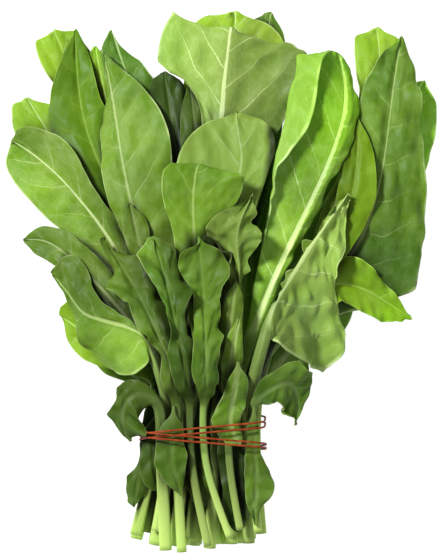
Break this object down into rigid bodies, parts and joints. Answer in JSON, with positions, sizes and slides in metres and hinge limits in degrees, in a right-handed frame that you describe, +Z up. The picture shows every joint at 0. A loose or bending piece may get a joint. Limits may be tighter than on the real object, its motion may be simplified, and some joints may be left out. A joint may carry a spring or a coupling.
{
  "type": "bunch of spinach",
  "caption": "Bunch of broad-leaved spinach lying down: leaves fan out from cut stalks that two twice-wound rubber bands tie together.",
  "frame": {"origin": "middle of the bunch's outline seen from above, on the table that it lies on", "axes": "+Y runs from the cut stalks to the leaf tips, +Z up from the table, +X to the right across the bunch"},
  "size_m": [0.218, 0.2716, 0.0671],
  "materials": {
    "leaf_bright": "backlit yellow-green leaf, satin",
    "leaf_green": "fresh mid-green leaf, satin",
    "leaf_deep": "deep green leaf, satin",
    "rubber_band": "matt red-brown rubber"
  },
  "bodies": {
    "root": {"under_leaf_1": "leaf_green", "under_leaf_2": "leaf_deep", "under_leaf_3": "leaf_green", "under_leaf_4": "leaf_deep", "under_leaf_5": "leaf_green", "under_leaf_6": "leaf_deep", "under_leaf_7": "leaf_green", "under_leaf_8": "leaf_deep", "under_leaf_9": "leaf_green", "under_leaf_10": "leaf_deep", "under_leaf_11": "leaf_green", "pale_left_tip_leaf": "leaf_bright", "left_flap_leaf": "leaf_bright", "dark_left_back_leaf": "leaf_deep", "back_tip_leaf": "leaf_deep", "top_back_leaf": "leaf_bright", "far_right_back_leaf": "leaf_green", "left_sliver_leaf": "leaf_bright", "upper_left_leaf": "leaf_green", "inner_dark_leaf": "leaf_deep", "inner_narrow_leaf": "leaf_green", "top_centre_leaf": "leaf_green", "far_right_flap_leaf": "leaf_bright", "far_right_leaf": "leaf_deep", "right_skirt_leaf": "leaf_bright", "left_low_bright_leaf": "leaf_bright", "left_leaf": "leaf_green", "upper_left_front_leaf": "leaf_green", "small_left_leaf": "leaf_green", "inner_right_leaf": "leaf_bright", "centre_back_leaf": "leaf_bright", "right_centre_leaf": "leaf_green", "left_low_tip_leaf": "leaf_green", "left_drooping_leaf": "leaf_green", "centre_front_leaf": "leaf_green", "crumpled_centre_leaf": "leaf_green", "centre_strip_leaf": "leaf_green", "crumpled_right_leaf": "leaf_green", "caught_leaf_1": "leaf_deep", "caught_leaf_2": "leaf_deep", "caught_leaf_3": "leaf_green", "caught_leaf_4": "leaf_deep", "left_sprig_leaf": "leaf_green", "mid_left_low_leaf": "leaf_green", "mid_left_leaf": "leaf_deep", "centre_low_leaf": "leaf_deep", "light_strip_leaf": "leaf_green", "right_low_leaf": "leaf_deep", "caught_leaf_5": "leaf_deep", "caught_leaf_6": "leaf_green", "caught_leaf_7": "leaf_green", "rubber_band_upper": "rubber_band", "rubber_band_lower": "rubber_band"}
  },
  "joints": []
}
